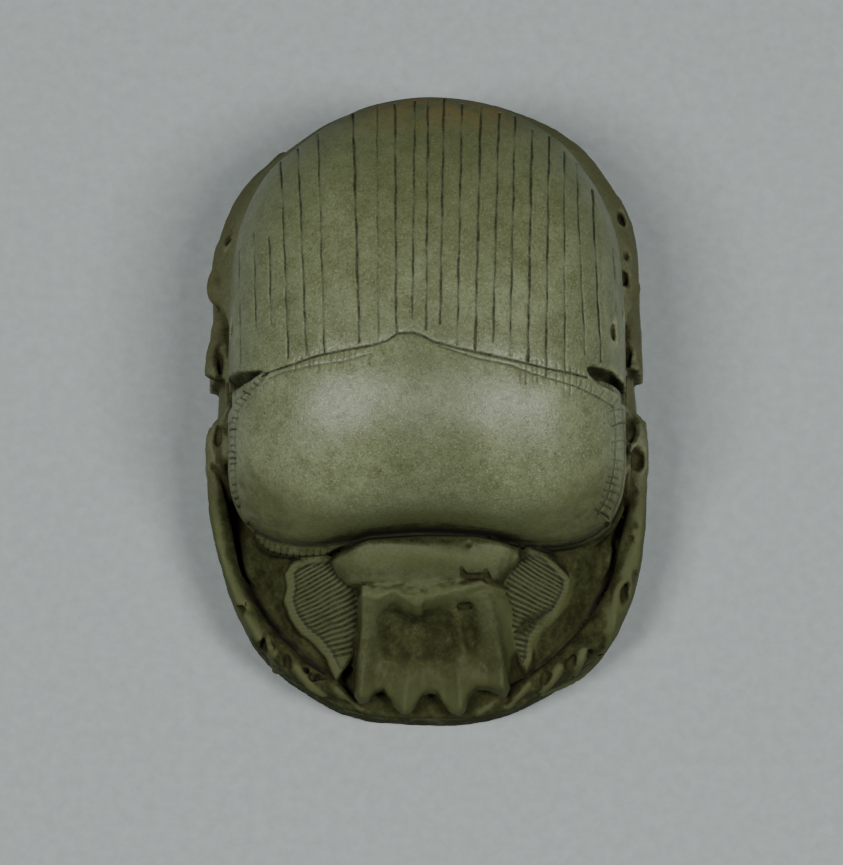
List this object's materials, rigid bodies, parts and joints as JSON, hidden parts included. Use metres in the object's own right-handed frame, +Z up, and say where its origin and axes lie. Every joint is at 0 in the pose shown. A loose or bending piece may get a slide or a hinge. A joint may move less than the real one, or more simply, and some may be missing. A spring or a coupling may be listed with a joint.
{
  "type": "scarab amulet",
  "caption": "Carved stone scarab amulet: a beetle with ribbed wing cases and a notched head on an oval plinth.",
  "frame": {"origin": "centre of the flat underside of the plinth", "axes": "+Z up, out of the underside through the beetle's back; +Y towards the rear of the beetle, so its head faces -Y; +X to its left side"},
  "size_m": [0.04, 0.057, 0.023],
  "materials": {
    "stone": "polished green stone, dulled by handling"
  },
  "bodies": {
    "root": {"scarab": "stone"}
  },
  "joints": []
}
